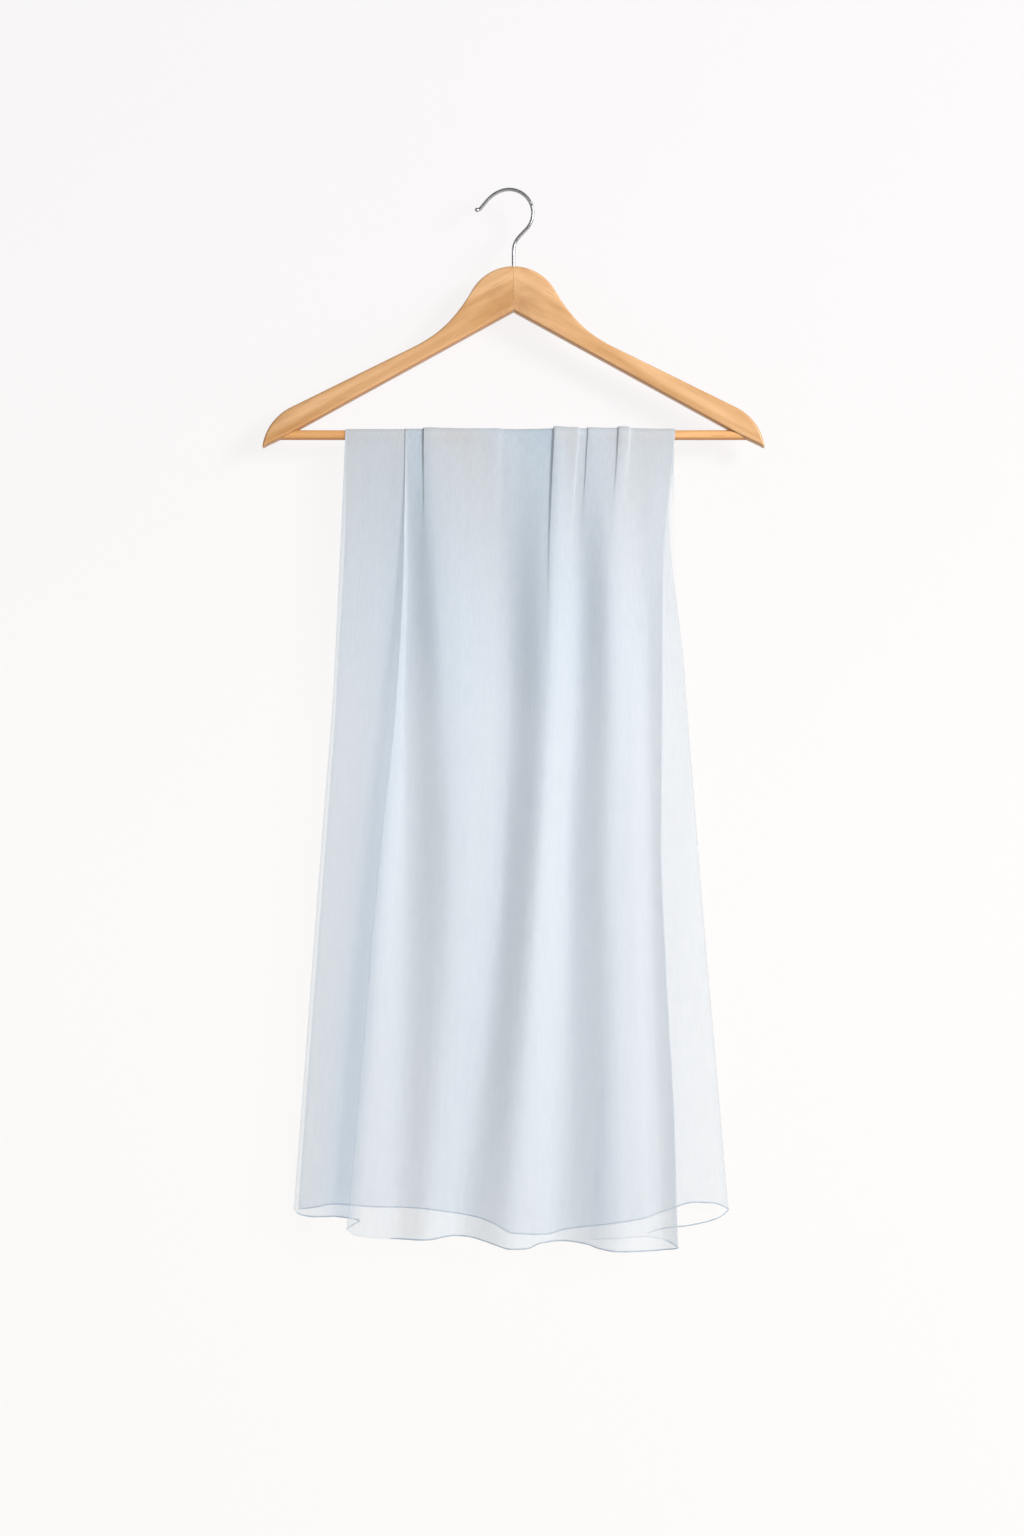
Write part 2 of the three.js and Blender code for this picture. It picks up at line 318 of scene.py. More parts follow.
def blend_colours(tree, factor, first, second, mode="MIX"):
    return add(tree, "Mix", {0: factor, 6: first, 7: second}, data_type="RGBA", blend_type=mode).outputs[2]


def maths(tree, operation, first, second=0.0, clamp=False):
    return add(tree, "Math", {0: first, 1: second}, operation=operation, use_clamp=clamp).outputs[0]


def between(tree, value, low, high, to_low=0.0, to_high=1.0):
    """value mapped from low..high onto to_low..to_high, smoothly, and held at both ends."""
    ends = {0: value, 1: low, 2: high, 3: to_low, 4: to_high}
    return add(tree, "MapRange", ends, interpolation_type="SMOOTHSTEP").outputs[0]


def between_straight(tree, value, low, high):
    """value mapped evenly from low..high onto 0..1, and held at both ends."""
    return add(tree, "MapRange", {0: value, 1: low, 2: high}).outputs[0]


def make_grain_group():
    """Straight grain along X, with slow bands, fine pores and a few darker flecks."""
    group, given, result = new_group(
        "wood grain",
        (
            ("Vector", "Vector", None),
            ("Pale", "Color", (0.8, 0.5, 0.25, 1)),
            ("Dark", "Color", (0.6, 0.33, 0.13, 1)),
            ("Fleck", "Color", (0.4, 0.2, 0.08, 1)),
            ("Bands", "Float", 60.0),
        ),
        (("Color", "Color"), ("Height", "Float"), ("Roughness", "Float")),
    )
    stretched = add(group, "Mapping", {"Vector": given.outputs["Vector"], "Scale": (3.2, 20, 26)})
    slow = add(group, "TexNoise", {"Vector": stretched.outputs[0], "Scale": 1.6, "Detail": 3, "Distortion": 0.6})
    thin = add(group, "Mapping", {"Vector": given.outputs["Vector"], "Scale": (14, 300, 300)})
    pores = add(group, "TexNoise", {"Vector": thin.outputs[0], "Scale": 2.2, "Detail": 4, "Roughness": 0.65})
    waved = add(
        group,
        "TexWave",
        {
            "Vector": stretched.outputs[0],
            "Scale": given.outputs["Bands"],
            "Distortion": 9,
            "Detail": 3,
            "Detail Scale": 1.4,
        },
        wave_type="BANDS",
        bands_direction="Z",
    )
    banded = maths(group, "MULTIPLY", waved.outputs["Fac"], 0.3)
    slow_part = between(group, slow.outputs["Fac"], 0.32, 0.7)
    depth = maths(group, "ADD", maths(group, "MULTIPLY", slow_part, 0.62), banded, clamp=True)
    base = blend_colours(group, depth, given.outputs["Pale"], given.outputs["Dark"])
    fleck_mask = between(group, pores.outputs["Fac"], 0.52, 0.78, 0, 0.55)
    colour = blend_colours(group, fleck_mask, base, given.outputs["Fleck"])
    group.links.new(colour, result.inputs["Color"])
    group.links.new(pores.outputs["Fac"], result.inputs["Height"])
    group.links.new(between(group, pores.outputs["Fac"], 0.3, 0.75, 0.34, 0.5), result.inputs["Roughness"])
    return group


def make_weave_group():
    """Plain weave on a UV map in metres: crossed threads, slubs and a soft crinkle."""
    group, given, result = new_group(
        "sheer weave",
        (("Vector", "Vector", None), ("Threads", "Float", 1100.0), ("Crinkle", "Float", 0.35)),
        (("Height", "Float"), ("Thread", "Float"), ("Slub", "Float")),
    )
    parts = add(group, "SeparateXYZ", {0: given.outputs["Vector"]})
    threads = []
    for axis in (0, 1):
        turns = maths(group, "MULTIPLY", parts.outputs[axis], given.outputs["Threads"])
        threads.append(maths(group, "ABSOLUTE", maths(group, "SINE", turns)))
    thread = maths(group, "MAXIMUM", *threads)
    long_way = add(group, "Mapping", {"Vector": given.outputs["Vector"], "Scale": (420, 60, 1)})
    slub = add(group, "TexNoise", {"Vector": long_way.outputs[0], "Scale": 1, "Detail": 3})
    crinkle_way = add(group, "Mapping", {"Vector": given.outputs["Vector"], "Scale": (190, 22, 1)})
    crinkle = add(group, "TexNoise", {"Vector": crinkle_way.outputs[0], "Scale": 1, "Detail": 4})
    soft = maths(group, "MULTIPLY", crinkle.outputs["Fac"], given.outputs["Crinkle"])
    height = maths(group, "ADD", maths(group, "MULTIPLY", thread, 0.12), soft)
    group.links.new(height, result.inputs["Height"])
    group.links.new(thread, result.inputs["Thread"])
    group.links.new(slub.outputs["Fac"], result.inputs["Slub"])
    return group


def make_wear_group():
    """Handling wear: a mask that is 1 on worn edges, broken up by noise."""
    group, given, result = new_group(
        "edge wear",
        (("Vector", "Vector", None), ("Spread", "Float", 0.55)),
        (("Worn", "Float"),),
    )
    geometry = add(group, "NewGeometry")
    edge = between(group, geometry.outputs["Pointiness"], 0.5, 0.56)
    patches = add(group, "TexNoise", {"Vector": given.outputs["Vector"], "Scale": 60, "Detail": 3})
    broken = maths(group, "GREATER_THAN", patches.outputs["Fac"], given.outputs["Spread"])
    softened = maths(group, "MULTIPLY", between(group, patches.outputs["Fac"], 0.35, 0.7), 0.8)
    group.links.new(
        maths(group, "MULTIPLY", edge, maths(group, "MAXIMUM", softened, maths(group, "MULTIPLY", broken, 0.5))),
        result.inputs["Worn"],
    )
    return group


GRAIN = make_grain_group()
WEAVE = make_weave_group()
WEAR = make_wear_group()


def new_material(name, **constants):
    """A material with one Principled shader, whose plain numbers are set on its own sockets."""
    material = bpy.data.materials.new(name)
    material.use_nodes = True
    tree = material.node_tree
    shader = tree.nodes["Principled BSDF"]
    for label, value in constants.items():
        shader.inputs[label.replace("_", " ")].default_value = value
    return material, tree, shader


def place_group(tree, group, **inputs):
    node = tree.nodes.new("ShaderNodeGroup")
    node.node_tree = group
    return feed(tree, node, inputs)


def bump(tree, shader, height, distance, strength=1.0):
    node = add(tree, "Bump", {"Height": height, "Distance": distance, "Strength": strength})
    tree.links.new(node.outputs[0], shader.inputs["Normal"])


UNDERSIDE_PAINTED_SHADE = 0.75  # how much darker the underside is painted: painted shade under the wood


def varnished_wood(name, turn, pale, dark, fleck, crown=False):
    """Varnished wood whose grain runs along X after the turn about Y. crown darkens it round the glued seam."""
    material, tree, shader = new_material(
        name, Coat_Weight=0.35, Coat_Roughness=0.22, Specular_IOR_Level=0.4
    )
    place = add(tree, "TexCoord").outputs["Object"]
    turned = add(tree, "Mapping", {"Vector": place, "Rotation": (0, turn, 0)})
    grain = place_group(tree, GRAIN, Vector=turned.outputs[0], Pale=pale, Dark=dark, Fleck=fleck, Bands=0.9)
    colour = grain.outputs["Color"]
    if crown:
        parts = add(tree, "SeparateXYZ", {0: place})
        from_seam = maths(tree, "ABSOLUTE", parts.outputs["X"])
        near = between(tree, from_seam, 0.0, 0.034, 1, 0)
        low = between(tree, parts.outputs["Z"], -0.078, -0.09)
        patch = add(tree, "TexNoise", {"Vector": turned.outputs[0], "Scale": 55, "Detail": 3})
        mottle = between(tree, patch.outputs["Fac"], 0.35, 0.62, 0.3, 1)
        mask = maths(tree, "MULTIPLY", maths(tree, "MULTIPLY", near, low), mottle)
        colour = blend_colours(tree, maths(tree, "MULTIPLY", mask, 0.55), colour, fleck)
    # The rounded edges, where the normal turns away from the flat faces, are mixed towards the dark tone: partly
    # their deeper orange tone, partly painted shade of the round-over.
    facing = add(tree, "SeparateXYZ", {0: add(tree, "TexCoord").outputs["Normal"]})
    flat_face = maths(tree, "ABSOLUTE", facing.outputs["Y"])
    rounded = between(tree, flat_face, 0.55, 0.97, 0.6, 0)
    colour = blend_colours(tree, rounded, colour, dark)
    # Painted shade: faces turned downwards, the undersides and the shoulders' lower ends, are darkened towards the
    # fleck tone.
    underside = between(tree, facing.outputs["Z"], -0.45, -0.8, 0, UNDERSIDE_PAINTED_SHADE)
    colour = blend_colours(tree, underside, colour, fleck)
    worn = place_group(tree, WEAR, Vector=place, Spread=0.6)
    colour = blend_colours(tree, maths(tree, "MULTIPLY", worn.outputs["Worn"], 0.3), colour, dark)
    tree.links.new(colour, shader.inputs["Base Color"])
    tree.links.new(grain.outputs["Roughness"], shader.inputs["Roughness"])
    bump(tree, shader, grain.outputs["Height"], 0.00012, 0.5)
    return material


def drawn_steel(name, tone, roughness, metal_axis_scale):
    """Bright wire with faint drawing lines along it and a little haze."""
    material, tree, shader = new_material(name, Specular_IOR_Level=0.5)
    shader.inputs["Metallic"].default_value = 1
    place = add(tree, "TexCoord").outputs["Object"]
    lines = add(tree, "Mapping", {"Vector": place, "Scale": metal_axis_scale})
    drawn = add(tree, "TexNoise", {"Vector": lines.outputs[0], "Scale": 8, "Detail": 3})
    haze = add(tree, "TexNoise", {"Vector": place, "Scale": 140, "Detail": 2})
    colour = blend_colours(
        tree, between(tree, haze.outputs["Fac"], 0.3, 0.75), tone, tuple(0.72 * c for c in tone[:3]) + (1,)
    )
    tree.links.new(colour, shader.inputs["Base Color"])
    tree.links.new(
        between(tree, drawn.outputs["Fac"], 0.3, 0.7, roughness * 0.75, roughness * 1.5), shader.inputs["Roughness"]
    )
    bump(tree, shader, drawn.outputs["Fac"], 0.00004, 0.5)
    return material


CLOTH_WIDTH = 0.5  # the flat cloth from side to side and from hem to hem, in metres
CLOTH_LENGTH = 1.44
THREAD_TURNS = 3400.0  # the weave's pitch, in turns of a sine, radians a metre
SELVEDGE = (0.4945, 0.4965)  # where the denser edge starts and is full, in widths from the middle
THREAD_GLOW = 0.5  # the share of the light falling on its threads that the cloth lets through
DENSE_TONE = (1.01, 0.965, 0.925, 1)  # the tint of the dense, gathered cloth near the bar
PAINTED_LIGHT_TONE = (1.045, 1.02, 1.0, 1)  # painted light and painted shade of the folds: the tints where the painted fold shade is lowest and where it is highest
PAINTED_SHADE_TONE = (0.78, 0.86, 0.925, 1)


def sheer_cloth(name, colour, thread_colour, alphas, crinkle=0.25, edges=True):
    """Sheer chiffon. alphas are its covers at the bar, a little below it, half-way down and at the hem."""
    material, tree, shader = new_material(name, Sheen_Weight=0.12, Specular_IOR_Level=0.2)
    uv = add(tree, "UVMap", uv_map="UVMap").outputs[0]
    metres = add(tree, "Mapping", {"Vector": uv, "Scale": (CLOTH_WIDTH, CLOTH_LENGTH, 1)})
    weave = place_group(tree, WEAVE, Vector=metres.outputs[0], Threads=THREAD_TURNS, Crinkle=crinkle)
    parts = add(tree, "SeparateXYZ", {0: uv})
    doubled = maths(tree, "MULTIPLY", parts.outputs["Y"], 2.0)
    from_bar = maths(tree, "ABSOLUTE", maths(tree, "SUBTRACT", doubled, 1.0))
    ramp = add(tree, "ValToRGB", {"Fac": from_bar})
    stops = ramp.color_ramp.elements
    stops[0].position, stops[1].position = 0.0, 1.0
    for place in (0.14, 0.5):
        stops.new(place)
    for stop, alpha in zip(sorted(stops, key=lambda s: s.position), alphas):
        stop.color = (alpha, alpha, alpha, 1)
    streak_way = add(tree, "Mapping", {"Vector": metres.outputs[0], "Scale": (60, 1.4, 1)})
    streak = add(tree, "TexNoise", {"Vector": streak_way.outputs[0], "Scale": 1, "Detail": 3})
    uneven = between(tree, streak.outputs["Fac"], 0.25, 0.75, -0.015, 0.015)
    cover = maths(tree, "ADD", ramp.outputs["Color"], uneven)
    cover = maths(tree, "ADD", cover, between(tree, weave.outputs["Slub"], 0.3, 0.7, -0.012, 0.012))
    base = blend_colours(tree, between(tree, weave.outputs["Slub"], 0.3, 0.7), colour, thread_colour)
    dense = blend_colours(tree, 1.0, base, DENSE_TONE, mode="MULTIPLY")
    base = blend_colours(tree, between(tree, from_bar, 0.0, 0.45), dense, base)
    if edges:
        side = maths(tree, "ABSOLUTE", maths(tree, "SUBTRACT", parts.outputs["X"], 0.5))
        selvedge = between(tree, side, *SELVEDGE)
        cover = maths(tree, "ADD", cover, maths(tree, "MULTIPLY", selvedge, 0.16))
        base = blend_colours(tree, maths(tree, "MULTIPLY", selvedge, 0.35), base, thread_colour)
    cover = maths(tree, "MULTIPLY", cover, add(tree, "Attribute", attribute_name="cover").outputs["Fac"])
    if edges:
        # Painted fold shade: an attribute tints the cloth lighter on painted ridges and darker in painted valleys.
        painted_fold_shade = add(tree, "Attribute", attribute_name="painted_fold_shade").outputs["Fac"]
        painted_fold_tint = blend_colours(tree, between_straight(tree, painted_fold_shade, -1.0, 2.2), PAINTED_LIGHT_TONE, PAINTED_SHADE_TONE)
        base = blend_colours(tree, 1.0, base, painted_fold_tint, mode="MULTIPLY")
    passed = maths(tree, "MULTIPLY", add(tree, "LightPath").outputs["Is Shadow Ray"], THREAD_GLOW)
    cover = maths(tree, "MULTIPLY", maths(tree, "MINIMUM", cover, 1.0), maths(tree, "SUBTRACT", 1.0, passed))
    tree.links.new(cover, shader.inputs["Alpha"])
    tree.links.new(base, shader.inputs["Base Color"])
    tree.links.new(between(tree, weave.outputs["Thread"], 0, 1, 0.72, 0.9), shader.inputs["Roughness"])
    bump(tree, shader, weave.outputs["Height"], 0.0004, 0.25)
    return material


PALE = (0.79, 0.475, 0.245, 1)
DARK = (0.5, 0.24, 0.072, 1)
FLECK = (0.34, 0.14, 0.04, 1)
right_wood = varnished_wood("right shoulder wood", -UNDER_SLOPE, PALE, DARK, FLECK, crown=True)
left_wood = varnished_wood("left shoulder wood", UNDER_SLOPE, PALE, DARK, FLECK, crown=True)
bar_wood = varnished_wood("bar wood", 0, (0.86, 0.48, 0.21, 1), (0.66, 0.32, 0.1, 1), (0.45, 0.18, 0.05, 1))
hook_steel = drawn_steel("hook steel", (0.48, 0.48, 0.49, 1), 0.24, (300, 300, 20))
plain_steel = drawn_steel("plain steel", (0.42, 0.42, 0.43, 1), 0.36, (40, 300, 40))
gown_sheer = sheer_cloth(
    "sheer cloth", (0.572, 0.63, 0.692, 1), (0.522, 0.585, 0.652, 1), (0.97, 0.82, 0.51, 0.455)
)
hem_sheer = sheer_cloth(
    "rolled hem cloth", (0.42, 0.5, 0.58, 1), (0.36, 0.44, 0.53, 1), (0.75, 0.75, 0.75, 0.75), edges=False
)


def dress(piece, material, slot, body, *replaced):
    piece.data.materials.clear()
    piece.data.materials.append(material)
    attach(piece, body)
    if replaced:
        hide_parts(*replaced)


# ---------------------------------------------------------------- wooden shoulders

APEX = CROWN_TOP - CROWN_HEIGHT
CROWN_CENTRE = CROWN_TOP - CROWN_RADIUS
HEEL_X = HALF_WIDTH - HEEL_LENGTH
SEAM_HALF = 0.06  # half of the hairline between the glued shoulders
STATIONS = 150  # sections along a shoulder, closer together towards its tip
SOCKET_CLEAR = 0.3  # room round the hook, the washer and the ends of the pins
SOCKET_DEPTH = 2.8  # the socket's floor below the washer
BRAD_RADIUS = 0.85
BORE_START = 150  # inside the shoulder's end, where the bar's bore opens


def top_line():
    """The shoulder's upper outline from the seam to the tip, in X and Z."""
    ahead = Vector((math.cos(TOP_SLOPE), -math.sin(TOP_SLOPE)))

    def top_z(x):
        return CROWN_TOP - NECK_FALL - math.tan(TOP_SLOPE) * (x - NECK_X)

    points = arc((0, CROWN_CENTRE), CROWN_RADIUS, math.pi / 2, math.pi / 2 - CROWN_ANGLE, 24)
    off_crown = Vector((math.cos(CROWN_ANGLE), -math.sin(CROWN_ANGLE)))
    neck_end = Vector((NECK_X, top_z(NECK_X)))
    points += bezier(points[-1], points[-1] + 36 * off_crown, neck_end - 20 * ahead, neck_end, 30)
    tip_start = Vector((HALF_WIDTH - TIP_RUN, top_z(HALF_WIDTH - TIP_RUN)))
    points.append(tip_start)
    tip = Vector((HALF_WIDTH, under_z(HALF_WIDTH)))
    points += bezier(tip_start, tip_start + 14 * ahead, tip + Vector((-1.3, 16)), tip, 30)
    return points


def under_z(x):
    straight = APEX - math.tan(UNDER_SLOPE) * min(x, HEEL_X)
    return straight - math.tan(HEEL_SLOPE) * max(x - HEEL_X, 0)


def rounded_section(half_height, half_depth, radius, corner_steps=6, flat_steps=4):
    """The points of a rounded rectangle, in height and depth, in order round it."""
    points = []
    for quarter in range(4):
        start = quarter * math.pi / 2
        sign = (1 if quarter in (0, 3) else -1, 1 if quarter in (0, 1) else -1)
        centre = Vector((sign[0] * (half_height - radius), sign[1] * (half_depth - radius)))
        corner = [p + centre for p in arc((0, 0), radius, start, start + math.pi / 2, corner_steps)]
        if points:
            points += [points[-1].lerp(corner[0], i / flat_steps) for i in range(1, flat_steps)]
        points += corner
    points += [points[-1].lerp(points[0], i / flat_steps) for i in range(1, flat_steps + 1)]
    return points


def shoulder(name, side):
    top = along(top_line())
    under = along([Vector((0, APEX)), Vector((HEEL_X, under_z(HEEL_X))), Vector((HALF_WIDTH, under_z(HALF_WIDTH)))])
    ahead = Vector((math.cos(UNDER_SLOPE), -math.sin(UNDER_SLOPE)))
    first = (top(0) - under(0)).dot(ahead)
    whole = (top(1) - under(0)).dot(ahead)
    sections = []
    for i in range(STATIONS + 1):
        share = 1 - (1 - i / STATIONS) ** 1.25
        upper = top(share)
        lower = under(((upper - under(0)).dot(ahead) - first) / (whole - first))
        height = (upper - lower).length
        inset = min(EDGE_ROUND, height / 2)
        lost = EDGE_ROUND - math.sqrt(max(EDGE_ROUND**2 - (EDGE_ROUND - inset) ** 2, 0))
        section = rounded_section(height / 2, WOOD_HALF - lost, max(min(EDGE_ROUND, height / 2) * 0.995, 1e-4))
        middle = (upper + lower) / 2
        up = (upper - lower) / height if height > 1e-6 else Vector((0, 1))
        sections.append([(middle + up * p.x, p.y) for p in section])

    def shape(a, b):
        section = sections[round(b * STATIONS)]
        spot, depth = section[round(a * (len(section) - 1))]
        return side * max(spot.x, SEAM_HALF), depth, spot.y

    piece = skin(name, len(sections[0]) - 1, STATIONS, shape, closed=True)
    middle_z = (washer_low.z + washer_high.z) / 2
    dowel_z = (dowel_low.z + dowel_high.z) / 2
    dowel_radius = (dowel_high.z - dowel_low.z) / 2 + 0.1
    lower_low, lower_high = box_mm("lower_seam_dowel")
    lower_z = (lower_low.z + lower_high.z) / 2
    brad_x = side * (brad_low.x + brad_high.x) / 2
    carve(
        piece,
        (
            (WIRE_RADIUS + SOCKET_CLEAR, (0, 0, middle_z), (0, 0, CROWN_TOP + 5)),
            (washer_high.x + SOCKET_CLEAR, (0, 0, washer_low.z - SOCKET_DEPTH), (0, 0, washer_high.z + SOCKET_CLEAR)),
            (dowel_radius, (-1, 0, dowel_z), (side * (dowel_high.x + SOCKET_CLEAR), 0, dowel_z)),
            (dowel_radius, (-1, 0, lower_z), (side * (dowel_high.x + SOCKET_CLEAR), 0, lower_z)),
            (BAR_RADIUS + 0.06, (side * BORE_START, 0, BAR_Z), (side * (BAR_END + SOCKET_CLEAR), 0, BAR_Z)),
            (BRAD_RADIUS, (brad_x, brad_low.y - 0.1, BAR_Z), (brad_x, WOOD_HALF + 2, BAR_Z)),
        ),
    )
    return piece


left_shoulder = shoulder("left_shoulder_wood", -1)
dress(left_shoulder, left_wood, "shoulder_wood", "hanger", "left_shoulder")
right_shoulder = shoulder("right_shoulder_wood", 1)
dress(right_shoulder, right_wood, "shoulder_wood", "hanger", "right_shoulder")


# ---------------------------------------------------------------- trouser bar


def trouser_rod():
    """The round rod, with its ends eased, and turned a hair out of true along its length."""
    line = [Vector((-BAR_END, 0, BAR_Z)), Vector((BAR_END, 0, BAR_Z))]

    def radius_at(share):
        from_end = min(share, 1 - share) * 2 * BAR_END
        ease = max(0.8 - from_end, 0)
        return BAR_RADIUS * (1 - 0.004 * (1 + math.sin(share * 40))) - ease

    return wire("trouser_rod", line, radius_at, 48, 300)


rod = trouser_rod()
dress(rod, bar_wood, "bar_wood", "hanger", "trouser_bar")
for node, material in (
    ("upper_seam_dowel", bar_wood),
    ("lower_seam_dowel", bar_wood),
    ("left_brad", plain_steel),
    ("right_brad", plain_steel),
    ("hook_washer", plain_steel),
):
    for material_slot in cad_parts[node].material_slots:
        material_slot.material = material


# ---------------------------------------------------------------- hook

FOOT_RADIUS = 2.8  # the upset foot that holds the hook in the crown
FOOT_HEIGHT = 2.2
FOOT_CHAMFER = 0.5


def hook_line():
    """The wire's centre line from the foot's underside to the tip of the ball."""
    bow_z = -math.sqrt((BOW_RADIUS - WIRE_RADIUS) ** 2 - BOW_SHIFT**2)
    start = BOW_OPEN - math.pi / 2
    end = start + BOW_CLOSE

    def at(angle, away):
        out = Vector((math.cos(angle), math.sin(angle)))
        ahead = Vector((-math.sin(angle), math.cos(angle)))
        return Vector((BOW_SHIFT, bow_z)) + BOW_RADIUS * out + away * ahead

    bend = CROWN_TOP + NECK_BEND
    points = [Vector((0, box_mm("hook")[0].z)), Vector((0, bend - 12)), Vector((0, bend))]
    points += bezier(
        points[-1], Vector((0, bend + NECK_BEND_RUN)), at(start, -4 - NECK_BEND_RUN), at(start, -4), 24
    )
    points += arc((BOW_SHIFT, bow_z), BOW_RADIUS, start, end, 90)
    tip = at(end, 0) - Vector((TIP_REACH, TIP_FALL))
    points += bezier(points[-1], at(end, 15), tip + Vector((4.4, -1.2)), tip, 40)
    outward = (points[-1] - points[-2]).normalized()
    points.append(points[-1] + outward * BALL_RADIUS)
    return points


def swivel_hook():
    line = upright(hook_line())
    length = sum((b - a).length for a, b in zip(line, line[1:]))

    def radius_at(share):
        reach = share * length
        from_tip = length - reach
        if reach < FOOT_HEIGHT:
            return FOOT_RADIUS - max(FOOT_CHAMFER - reach, 0) - max(reach - 1.7, 0)
        if from_tip < 2 * BALL_RADIUS:
            ball = math.sqrt(max(BALL_RADIUS**2 - (from_tip - BALL_RADIUS) ** 2, 0))
            return max(ball, WIRE_RADIUS if from_tip > BALL_RADIUS else 0.02)
        return WIRE_RADIUS

    return wire("swivel_hook", line, radius_at, 28, 420)


hook = swivel_hook()
dress(hook, hook_steel, "hook_wire", "hook", "hook")

# ---------------------------------------------------------------- gown cloth

# Shares of the cloth's width where the front fall turns back on itself: the side strip ends, the pleat's
# edge, and the right edge where a margin folds under.
STRIP_END, PLEAT_EDGE, MARGIN_FOLD = 0.178, 0.262, 0.845
BACK_FOLD = 0.82  # where the back fall's right side folds forward

# Edges and turns of the falls, from the bar down to the hem.
front_left = down_fall(-148.6, -153.4, -159, -167.8, -176.5, -185, -193.8)
strip_end = down_fall(-84, -86, -92, -104, -115, -125, -135)
pleat_edge = down_fall(-96.3, -97.5, -103.5, -115.8, -126.5, -136.3, -146.8)
front_right = down_fall(143.1, 132.6, 131.8, 130.9, 135.6, 142.2, 145.7)
margin_edge = down_fall(132, 112, 100, 92, 84, 76, 68)
back_left = down_fall(-148, -152.5, -157.5, -166, -175, -184, -192.5)
back_right = down_fall(142.6, 146.5, 154.2, 163.5, 173, 183.2, 193)
back_flap = down_fall(139, 136, 134, 131, 128, 124, 119)

# Ridges and valleys of the front panel: where each runs, and how far it stands forward.
RIDGES = (
    (pleat_edge, down_fall(0.4, 2, 3, 4, 4, 4, 3)),
    (down_fall(-94, -94, -96, -94, -96, -100, -104), down_fall(-0.5, -5, -6, -6, -5, -4, -3)),
    (down_fall(-74, -68, -61, -56, -59, -68, -78), down_fall(0.2, 4, 6, 7, 6, 5, 4)),
    (down_fall(-14, -8, -5, -9, -19, -32, -47), down_fall(-0.4, -6, -8.5, -9, -8, -7, -5)),
    (down_fall(38, 33, 30, 24, 15, 5, -6), down_fall(1.0, 6, 8, 9, 9, 9, 8)),
    (down_fall(55, 59, 57, 50, 48, 45, 42), down_fall(-0.4, -4, -5, -7, -8, -8, -8)),
    (down_fall(76, 84, 86, 84, 86, 88, 90), down_fall(0.4, 5, 6, 5, 5, 6, 6)),
    (down_fall(115, 118, 118, 120, 122, 126, 130), down_fall(-0.3, -4, -5, -4, -4, -4, -3)),
    (front_right, down_fall(0, -2, -2, -2, -1.5, 0, 1)),
)
BACK_RIDGES = (
    (back_left, down_fall(0, 0, 0, 1, 1, 2, 2)),
    (down_fall(-110, -112, -116, -120, -124, -128, -132), down_fall(0, -2, -3, -3.5, -4, -4, -4)),
    (down_fall(-60, -62, -64, -68, -72, -76, -80), down_fall(0, 2, 3, 3, 3.5, 4, 4)),
    (down_fall(-10, -8, -6, -4, -2, 2, 4), down_fall(0, -2, -3, -4, -4, -5, -5)),
    (down_fall(50, 54, 58, 64, 70, 74, 80), down_fall(0, 2, 3, 3.5, 4, 4, 4)),
    (down_fall(100, 104, 108, 114, 120, 128, 134), down_fall(0, -1, -2, -3, -3, -3, -3)),
    (back_right, down_fall(0, 0, 0.5, 1, 1, 1, 1)),
)

# Tucks where the cloth is gathered on the bar: place, overlap, lift, and the share of the fall that each
# runs down. side is -1 where its folded edge faces left.
TUCKS = (
    (-78.5, 4, 1.1, 0.09, -1),
    (-11, 0.6, 0.6, 0.08, 1),
    (37, 4, 1.8, 0.16, -1),
    (57.5, 2.5, 0.9, 0.1, 1),
    (66, 3, 1.1, 0.09, -1),
    (93, 3, 1.3, 0.07, -1),
    (103, 1.6, 0.8, 0.05, 1),
)
TUCK_HALF = 0.014  # half of each tuck's share of the width
FRONT_BELLY = 10.5  # how far the falls hang clear of the plane of the bar
BACK_BELLY = 8

# Drops of the hems below the bar, by share of the width.
front_drop = curve_through(
    (0, 683), (0.012, 687), (0.03, 689), (0.06, 690), (0.1, 690), (STRIP_END, 694), (PLEAT_EDGE, 699),
    (0.27, 702), (0.283, 705), (0.35, 708.5), (0.407, 708), (0.445, 706), (0.477, 707), (0.515, 711),
    (0.55, 715.5), (0.578, 716), (0.603, 712.5), (0.643, 711.5), (0.682, 713), (0.705, 716), (0.735, 718),
    (0.797, 719), (MARGIN_FOLD, 716), (0.857, 713), (0.88, 709.5), (0.907, 708), (0.946, 709), (1, 710.5),
)  # fmt: skip
back_drop = curve_through(
    (0, 689), (0.03, 687), (0.07, 683.5), (0.13, 685), (0.2, 687), (0.28, 691), (0.34, 695), (0.37, 700),
    (0.41, 709), (0.47, 710), (0.51, 706), (0.58, 703), (0.65, 697), (0.71, 687), (0.75, 682), (0.79, 683),
    (BACK_FOLD, 689), (0.835, 693), (0.86, 697), (0.89, 700), (0.92, 702), (0.95, 703), (0.985, 706), (1, 709),
)  # fmt: skip

